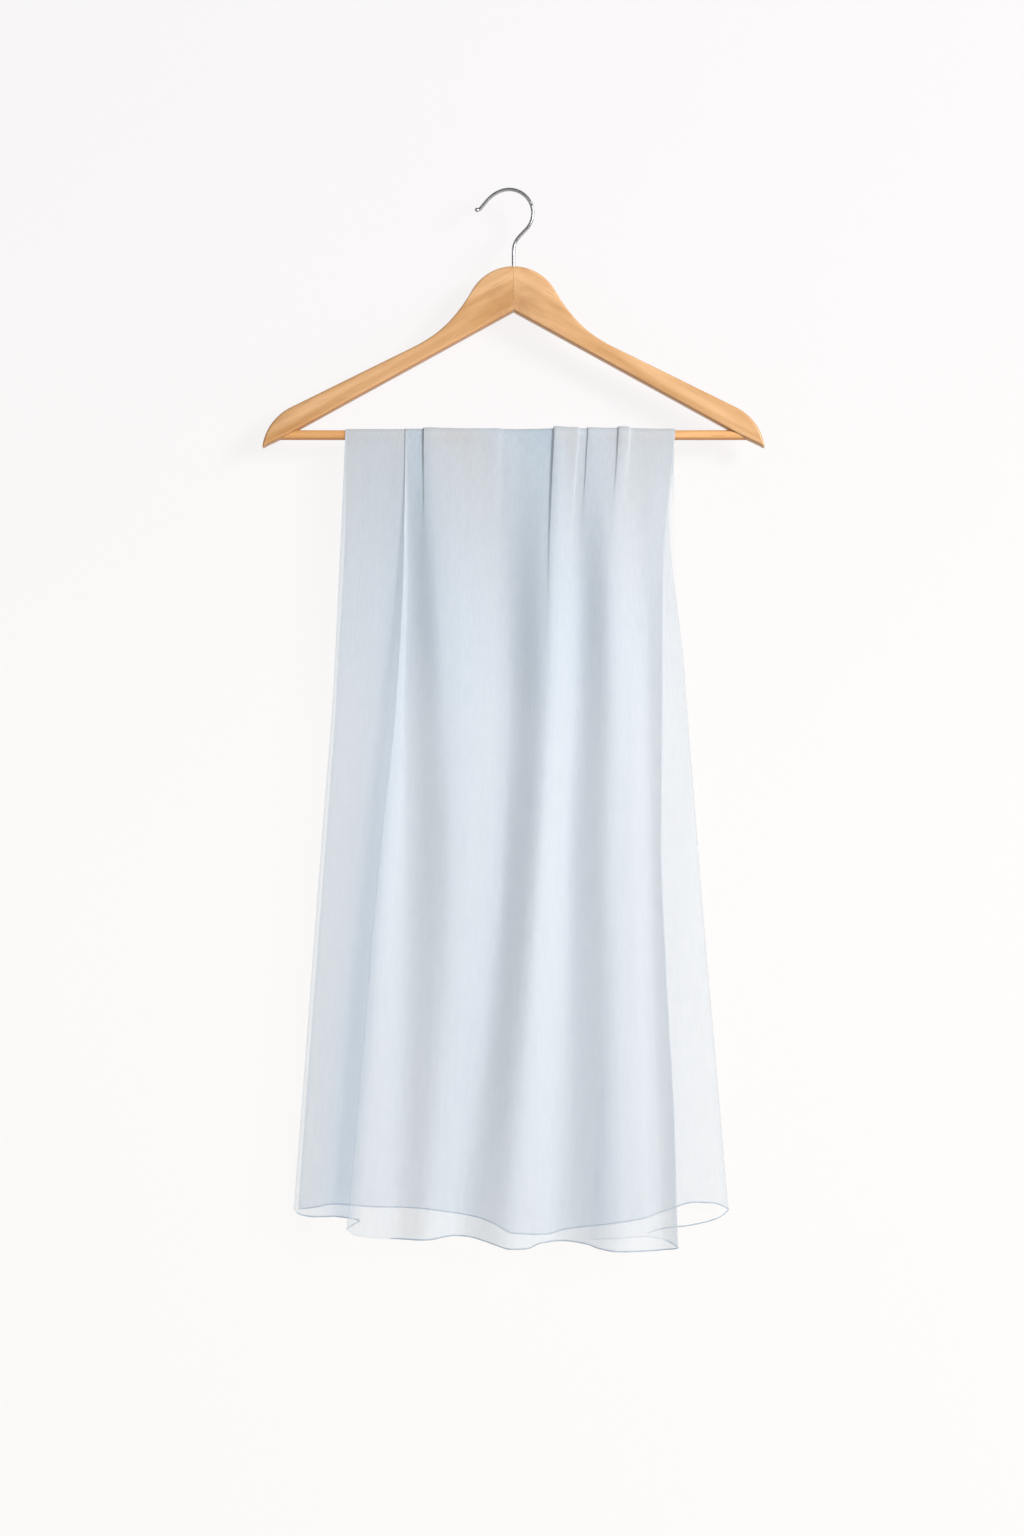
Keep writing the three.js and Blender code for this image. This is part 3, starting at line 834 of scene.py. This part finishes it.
# Painted fold shade on the front panel, standing in for the light and shade of its folds: where each line runs and
# its value. Higher values paint the cloth darker and thicker, as if gathered closer, and lower ones lighter and
# thinner, as if spread thin.
PAINTED_FOLD_SHADES = (
    (pleat_edge, down_fall(0.9, 0.1, -0.3, -0.5, -0.6, -0.7, -0.8)),
    (down_fall(-87, -86, -82, -75, -76, -80, -86), down_fall(1.9, 1.5, 1.0, 0.6, 0.5, 0.2, -0.2)),
    (down_fall(-74, -66, -60, -56, -58, -64, -68), down_fall(0.0, -0.1, 0.0, 0.1, 0.1, 0.0, 0.0)),
    (down_fall(-61, -32, -23, -30, -38, -46, -50), down_fall(-0.3, -0.6, -0.6, -0.5, -0.2, 0.2, 0.3)),
    (down_fall(31, 20, 14, 13, 4, -10, -28), down_fall(2.2, 1.3, 0.9, 0.9, 0.9, 0.8, 0.6)),
    (down_fall(44, 49, 46, 37, 32, 25, 13), down_fall(-0.2, -0.2, -0.2, -0.6, -0.8, -0.6, -0.3)),
    (down_fall(64, 66, 66, 63, 63, 66, 68), down_fall(0.6, 0.5, 0.4, 0.4, 0.7, 0.8, 0.9)),
    (down_fall(101, 102, 103, 105, 108, 110, 112), down_fall(0.1, -0.7, -0.8, -0.9, -1.0, -1.0, -0.9)),
    (front_right, down_fall(-0.2, -0.4, -0.5, -0.6, -0.5, -0.5, -0.5)),
)
# The same painted fold shade on the side strip.
STRIP_PAINTED_FOLD_SHADES = (
    (front_left, down_fall(-0.2, -0.5, -0.7, -0.8, -0.8, -0.8, -0.8)),
    (down_fall(-122, -120, -128, -142, -154, -168, -178), down_fall(0.4, 0.0, -0.3, -0.5, -0.5, -0.4, -0.1)),
    (down_fall(-98, -102, -107, -119, -130, -141, -151), down_fall(-0.2, 0.1, 0.5, 0.9, 1.5, 2.1, 2.4)),
    (strip_end, down_fall(0.2, 0, 0, 0, 0, 0, 0)),
)

LOOSE = 1.1  # the single cloth's middle above the bar


def relief(ridges, x, t):
    """How far a panel stands out at x, eased between its ridges and valleys."""
    places = [place(t) for place, _ in ridges]
    x = min(max(x, places[0]), places[-1])
    i = min(max(bisect_right(places, x) - 1, 0), len(ridges) - 2)
    s = min(max((x - places[i]) / max(places[i + 1] - places[i], 1e-6), 0), 1)
    s = s * s * (3 - 2 * s)
    return ridges[i][1](t) * (1 - s) + ridges[i + 1][1](t) * s


def ease_between(u, turns, values):
    """Straight from value to value at each turn, with the corners of the folds rounded a little."""

    def straight(at):
        at = min(max(at, turns[0]), turns[-1])
        i = min(bisect_right(turns, at) - 1, len(turns) - 2)
        s = (at - turns[i]) / (turns[i + 1] - turns[i])
        return values[i] * (1 - s) + values[i + 1] * s

    width = 0.0035
    if u < width or u > 1 - width:
        return straight(u)
    return 0.25 * straight(u - width) + 0.5 * straight(u) + 0.25 * straight(u + width)


FRONT_TURNS = (0, STRIP_END, PLEAT_EDGE, MARGIN_FOLD, 1)
BACK_TURNS = (0, BACK_FOLD, 1)


def front_x(u, t):
    lines = (front_left, strip_end, pleat_edge, front_right, margin_edge)
    return ease_between(u, FRONT_TURNS, [line(t) for line in lines])


def back_x(u, t):
    return ease_between(u, BACK_TURNS, [line(t) for line in (back_left, back_right, back_flap)])


def tuck_place(x):
    """The share of the width where the front panel reaches x on the bar."""
    share = (x - pleat_edge(0)) / (front_right(0) - pleat_edge(0))
    return PLEAT_EDGE + share * (MARGIN_FOLD - PLEAT_EDGE)


def tucked(u, t):
    """(sideways shift, lift) of the gathers at a share of the width and of the fall."""
    shift = lift = 0.0
    for x, overlap, height, reach, side in TUCKS:
        s = (u - tuck_place(x)) / TUCK_HALF * -side
        fade = math.exp(-((t / reach) ** 2))
        if abs(s) < 1:
            shift -= side * -1 * overlap * math.sin(math.pi * s) * fade
        rise = smoothstep(-0.8, 0.8, s) * math.exp(-max(s - 0.8, 0) / 3.2)
        lift += height * rise * math.exp(-((t / (reach * 1.3)) ** 2))
    return shift, lift


def stack(u, t):
    """How far the layers of the pleat, the margin and the tucks lie off the bar."""
    over = 0.4 * smoothstep(STRIP_END, PLEAT_EDGE + 0.01, u) * (1 - smoothstep(0.36, 0.5, u))
    under = -0.5 * smoothstep(MARGIN_FOLD - 0.01, MARGIN_FOLD + 0.03, u)
    return over + under


def flutter(x, t, seed):
    """Small uneven waves that run down the cloth."""
    spot = Vector((x / 34, t * 1.6, seed))
    return noise.noise(spot) * 1.3 * smoothstep(0.05, 0.6, t) + noise.noise(spot * 2.3) * 0.35


def front_point(u, t):
    shift, lift = tucked(u, t)
    x = front_x(u, t) + shift
    panel = relief(RIDGES, x, t) * smoothstep(-0.08, 0.3, t)
    belly = FRONT_BELLY * smoothstep(0, 0.4, t)
    behind = 1 - smoothstep(STRIP_END - 0.02, PLEAT_EDGE + 0.004, u)
    under = smoothstep(MARGIN_FOLD - 0.004, MARGIN_FOLD + 0.03, u)
    spread = smoothstep(0, 0.25, t)
    strip = 0.8 * math.sin((x + 150 + 40 * t) / 15) * t
    forward = (belly + panel + flutter(x, t, 3)) * (1 - behind) * (1 - under)
    fall_away = smoothstep(0, STRIP_END, u)
    forward += behind * spread * (4.5 * (1 - fall_away) + strip)
    forward += under * (0.35 * belly + spread * (0.3 * panel - 1.5))
    return x, -(BAR_RADIUS + LOOSE + stack(u, t) + lift + forward), BAR_Z - t * front_drop(u)


def back_point(u, t):
    shift, lift = tucked(u, t)
    opening = smoothstep(0, 0.3, t)
    x = (front_x(u, 0) + shift) * (1 - opening) + back_x(u, t) * opening
    flap = smoothstep(BACK_FOLD - 0.004, BACK_FOLD + 0.03, u) * opening
    panel = relief(BACK_RIDGES, x, t)
    belly = BACK_BELLY * smoothstep(0, 1, t) + 1.5 * smoothstep(0, 0.2, t)
    forward = belly + panel + flutter(x, t, 9)
    forward = forward * (1 - flap) + flap * (0.35 * belly + 0.4 * panel)
    return x, BAR_RADIUS + LOOSE + (stack(u, 0) + lift) * (1 - opening) + forward, BAR_Z - t * back_drop(u)


TURN_SHARE = 0.018  # half of the cloth's length that lies over the bar


def cloth_point(u, v):
    """A point of the gown: u runs across it from its left edge, v from the front hem over the bar to the back one."""
    if v < 0.5 - TURN_SHARE:
        t = 1 - v / (0.5 - TURN_SHARE)
        return front_point(u, t**1.35 if t < 1 else 1.0)
    if v > 0.5 + TURN_SHARE:
        t = (v - 0.5 - TURN_SHARE) / (0.5 - TURN_SHARE)
        return back_point(u, t**1.35)
    x, y, _ = front_point(u, 0)
    angle = math.pi * (1 - (v - 0.5 + TURN_SHARE) / (2 * TURN_SHARE))
    return x, -y * math.cos(angle), BAR_Z - y * math.sin(angle)


FOLD_SHADE_COVER = 0.14  # how much one step of painted fold shade adds to the cover, so that the painted shade also thickens the cloth
# The share of the cover that the hidden layers lose: the pleat's return, the front's margin and the back's side.
RETURN_THINNER = 0.8
MARGIN_THINNER = 0.65
FLAP_THINNER = 0.9


def cloth_marks(u, v):
    """The painted fold shade at a point, light and shade painted on the folds, and how much of the cover there is
    left.
    """
    t = abs(2 * v - 1)
    front = 1 if v < 0.5 else 1 - smoothstep(0, 0.12, t)
    x = front_x(u, t if v < 0.5 else 0)
    strip = 1 - smoothstep(STRIP_END, STRIP_END + 0.02, u)
    painted_fold_shade = relief(STRIP_PAINTED_FOLD_SHADES, x, t) * strip
    painted_fold_shade += relief(PAINTED_FOLD_SHADES, x, t) * smoothstep(PLEAT_EDGE - 0.01, PLEAT_EDGE, u)
    painted_fold_shade *= front
    if v > 0.5:
        # The back fall's right side is painted lighter and thinner.
        painted_fold_shade -= 0.9 * smoothstep(0.6, 0.75, u) * smoothstep(0.03, 0.3, t)
    cover = (1 + FOLD_SHADE_COVER * painted_fold_shade) * (1 - 0.06 * strip * front * smoothstep(0.05, 0.3, t))
    hidden = smoothstep(STRIP_END - 0.03, STRIP_END - 0.005, u) * (1 - smoothstep(PLEAT_EDGE - 0.012, PLEAT_EDGE, u))
    folded_under = smoothstep(MARGIN_FOLD, MARGIN_FOLD + 0.02, u)
    if v < 0.5:
        cover *= 1 - (RETURN_THINNER * hidden + MARGIN_THINNER * folded_under) * smoothstep(0.03, 0.2, t)
    else:
        turned = MARGIN_FOLD + (BACK_FOLD - MARGIN_FOLD) * smoothstep(0, 0.3, t)
        thinner = FLAP_THINNER * smoothstep(turned - 0.002, turned + 0.008, u)
        cover *= 1 - thinner * smoothstep(0.03, 0.22, t)
    return painted_fold_shade, cover


def gown():
    return skin("gown_sheet", 360, 236, cloth_point, tidy=False, marks=cloth_marks)


HEM_RADIUS = 0.6
BACK_HEM_COVER = 0.8


def hem_marks(u, v):
    """The back fall's hem shows all round its folded side, and the front's only where it is outermost."""
    painted_fold_shade, cover = cloth_marks(u, v)
    return painted_fold_shade, max(cover, BACK_HEM_COVER if v > 0.5 else 0)


def hem(name, v):
    """The rolled hem, a thin bead along the cloth's edge that follows its folds."""
    points = [Vector(cloth_point(i / 400, v)) for i in range(401)]
    low = Vector((0, 0, -HEM_RADIUS * 0.6))

    def radius_at(share):
        return HEM_RADIUS * (1 + 0.1 * math.sin(share * 210)) * min(1, 40 * share + 0.3, 40 * (1 - share) + 0.3)

    at = along([p + low for p in points])

    def shape(a, b):
        centre = at(b)
        ahead = (at(b + 0.0015) - at(b - 0.0015)).normalized()
        out = Vector((-ahead.y, ahead.x, 0)).normalized()
        up = Vector((0, 0, 1))
        angle = 2 * math.pi * a
        return centre + radius_at(b) * (out * math.cos(angle) + up * math.sin(angle))

    return skin(name, 8, 500, shape, closed=True, marks=lambda a, b: hem_marks(b, v))


sheet = gown()
dress(sheet, gown_sheer, "sheer_cloth", "gown", "gown_turn", "gown_front_fall", "gown_back_fall")
front_hem = hem("front_hem_roll", 0.0)
dress(front_hem, hem_sheer, "hem_cloth", "gown", "front_hem")
back_hem = hem("back_hem_roll", 1.0)
dress(back_hem, hem_sheer, "hem_cloth", "gown", "back_hem")

# ---------------------------------------------------------------- wall and light

WALL_Y = 27
WALL_HALF = 3000
WALL_GLOW = 10.0  # the share of its brightness that shadows can't reach, against its paint
# The wall's low and high tones: it is painted a little darker towards the top, a painted falloff of the light.
WALL_LOW = (0.0881, 0.0866, 0.0852, 1)
WALL_HIGH = (0.0852, 0.0837, 0.0841, 1)


def wall():
    """The pale wall behind the hanger. It shows from its front only, so that the back can be seen too."""
    bm = bmesh.new()
    bmesh.ops.create_grid(bm, x_segments=1, y_segments=1, size=WALL_HALF * MM)
    bmesh.ops.rotate(bm, verts=bm.verts, cent=(0, 0, 0), matrix=Matrix.Rotation(math.pi / 2, 3, "X"))
    bmesh.ops.translate(bm, verts=bm.verts, vec=(0, WALL_Y * MM, CAMERA_Z * MM))
    backdrop = finished("wall", bm)
    material, tree, shader = new_material("wall paint", Roughness=0.9, Specular_IOR_Level=0.1)
    place = add(tree, "TexCoord").outputs["Object"]
    roller = add(tree, "TexNoise", {"Vector": place, "Scale": 3, "Detail": 2})
    height = add(tree, "SeparateXYZ", {0: place}).outputs["Z"]
    # Painted light falloff: the wall darkens towards the top.
    tone = blend_colours(tree, between(tree, height, -0.7, 0.2), WALL_LOW, WALL_HIGH)
    tone = blend_colours(tree, maths(tree, "MULTIPLY", roller.outputs["Fac"], 0.02), tone, (0.08, 0.08, 0.08, 1))
    tree.links.new(tone, shader.inputs["Base Color"])
    tree.links.new(tone, shader.inputs["Emission Color"])
    shader.inputs["Emission Strength"].default_value = WALL_GLOW
    clear = add(tree, "BsdfTransparent")
    facing = add(tree, "NewGeometry")
    choice = add(tree, "MixShader", {0: facing.outputs["Backfacing"], 1: shader.outputs[0], 2: clear.outputs[0]})
    tree.links.new(choice.outputs[0], tree.nodes["Material Output"].inputs["Surface"])
    backdrop.data.materials.append(material)
    backdrop.visible_shadow = False
    return backdrop


wall()

FLOOR_Z = -1320
FLOOR_SEEN = (0.45, 0.45, 0.45, 1)  # its tone to the camera, under the key light


def floor():
    """A plain pale floor below the wall."""
    bm = bmesh.new()
    bmesh.ops.create_grid(bm, x_segments=1, y_segments=1, size=WALL_HALF * MM)
    bmesh.ops.translate(bm, verts=bm.verts, vec=(0, (WALL_Y - WALL_HALF) * MM, FLOOR_Z * MM))
    ground = finished("floor", bm)
    material, tree, shader = new_material("floor paint", Roughness=0.9, Specular_IOR_Level=0.1)
    place = add(tree, "TexCoord").outputs["Object"]
    mottle = add(tree, "TexNoise", {"Vector": place, "Scale": 4, "Detail": 3})
    lit = blend_colours(tree, mottle.outputs["Fac"], (0.6, 0.6, 0.6, 1), (0.64, 0.64, 0.635, 1))
    seen = add(tree, "LightPath").outputs["Is Camera Ray"]
    tree.links.new(blend_colours(tree, seen, lit, FLOOR_SEEN), shader.inputs["Base Color"])
    ground.data.materials.append(material)
    return ground


floor()


def panel_light(name, place, aim, size, watts, colour=(1, 1, 1)):
    data = bpy.data.lights.new(name, "AREA")
    data.shape = "RECTANGLE"
    data.size, data.size_y = size
    data.energy = watts
    data.color = colour
    light = bpy.data.objects.new(name, data)
    light.location = place
    light.rotation_euler = (Vector(aim) - Vector(place)).to_track_quat("-Z", "Y").to_euler()
    scene.collection.objects.link(light)


panel_light("key", (2.5, -2.3, 0.6), (0, 0, -0.5), (1.1, 1.1), 134, (1, 0.99, 0.975))
panel_light("fill", (-1.6, -3.2, 0.2), (0, 0, -0.5), (2.4, 2.4), 14, (0.97, 0.985, 1))
panel_light("back", (0.8, 2.8, 0.8), (0, 0, -0.5), (1.6, 1.6), 30)

world = bpy.data.worlds.new("room")
world.use_nodes = True
room = world.node_tree
daylight = add(room, "Background", {"Color": (0.95, 0.97, 1, 1), "Strength": 0.26})
pale_room = add(room, "Background", {"Color": (0.86, 0.865, 0.87, 1), "Strength": 1.0})
seen = add(room, "LightPath").outputs["Is Camera Ray"]
shown = add(room, "MixShader", {0: seen, 1: daylight.outputs[0], 2: pale_room.outputs[0]})
room.links.new(shown.outputs[0], room.nodes["World Output"].inputs["Surface"])
scene.world = world
scene.view_settings.view_transform = "Standard"
scene.view_settings.look = "None"
